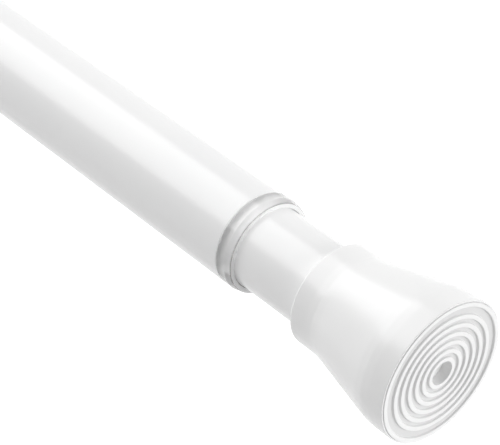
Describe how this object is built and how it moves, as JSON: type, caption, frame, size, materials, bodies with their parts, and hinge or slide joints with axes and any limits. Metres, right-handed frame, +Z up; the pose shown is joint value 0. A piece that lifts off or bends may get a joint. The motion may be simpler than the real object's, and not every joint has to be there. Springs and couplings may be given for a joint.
{
  "type": "spring tension rod",
  "caption": "Telescoping round tension rod with flared feet, ridged wall pads and a clear end collar; a twist lock sets its length and an inner spring presses it between two walls.",
  "frame": {"origin": "centre of the outer tube foot's pad face, where it presses on the wall", "axes": "+X along the rod from the outer tube's foot to the inner tube's foot, +Z up with the rod level"},
  "size_m": [0.4206, 0.0322, 0.0322],
  "materials": {
    "tube_paint": "satin",
    "foot_plastic": "satin",
    "pad_rubber": "matte",
    "clear_plastic": "gloss",
    "lock_plastic": "satin",
    "wedge_plastic": "satin",
    "plated_steel": "satin",
    "spring_steel": "satin"
  },
  "bodies": {
    "outer": {"outer_tube": "tube_paint", "end_collar": "clear_plastic", "outer_foot": "foot_plastic", "outer_pad": "pad_rubber"},
    "lock_sleeve": {"expander_sleeve": "lock_plastic"},
    "wedge": {"wedge_nut": "wedge_plastic"},
    "screw": {"spindle": "plated_steel", "stop_clip": "spring_steel", "thrust_washer": "plated_steel", "spring_seat": "lock_plastic", "seat_nut": "plated_steel", "spring": "spring_steel"},
    "inner": {"inner_tube": "tube_paint", "guide_plug": "lock_plastic", "spring_stop": "lock_plastic", "inner_foot": "foot_plastic", "inner_pad": "pad_rubber"}
  },
  "joints": [
    {"name": "telescope", "type": "slide", "parent": "outer", "child": "lock_sleeve", "axis": [1, 0, 0], "range_m": [0, 0.28]},
    {"name": "twist", "type": "hinge", "parent": "lock_sleeve", "child": "screw", "pos_m": [0.0752, 0, 0], "axis": [1, 0, 0], "range_deg": [0, 540]},
    {"name": "wedge_travel", "type": "slide", "parent": "lock_sleeve", "child": "wedge", "axis": [1, 0, 0], "range_m": [-0.003, 0]},
    {"name": "spring_travel", "type": "slide", "parent": "screw", "child": "inner", "axis": [1, 0, 0], "range_m": [-0.018, 0], "stiffness_N_per_m": 3370, "springref_m": 0.008, "deforming": ["spring"]}
  ],
  "couplings": [
    {"joint": "wedge_travel", "follows": "twist", "m_per_rad": -0.0003183}
  ]
}
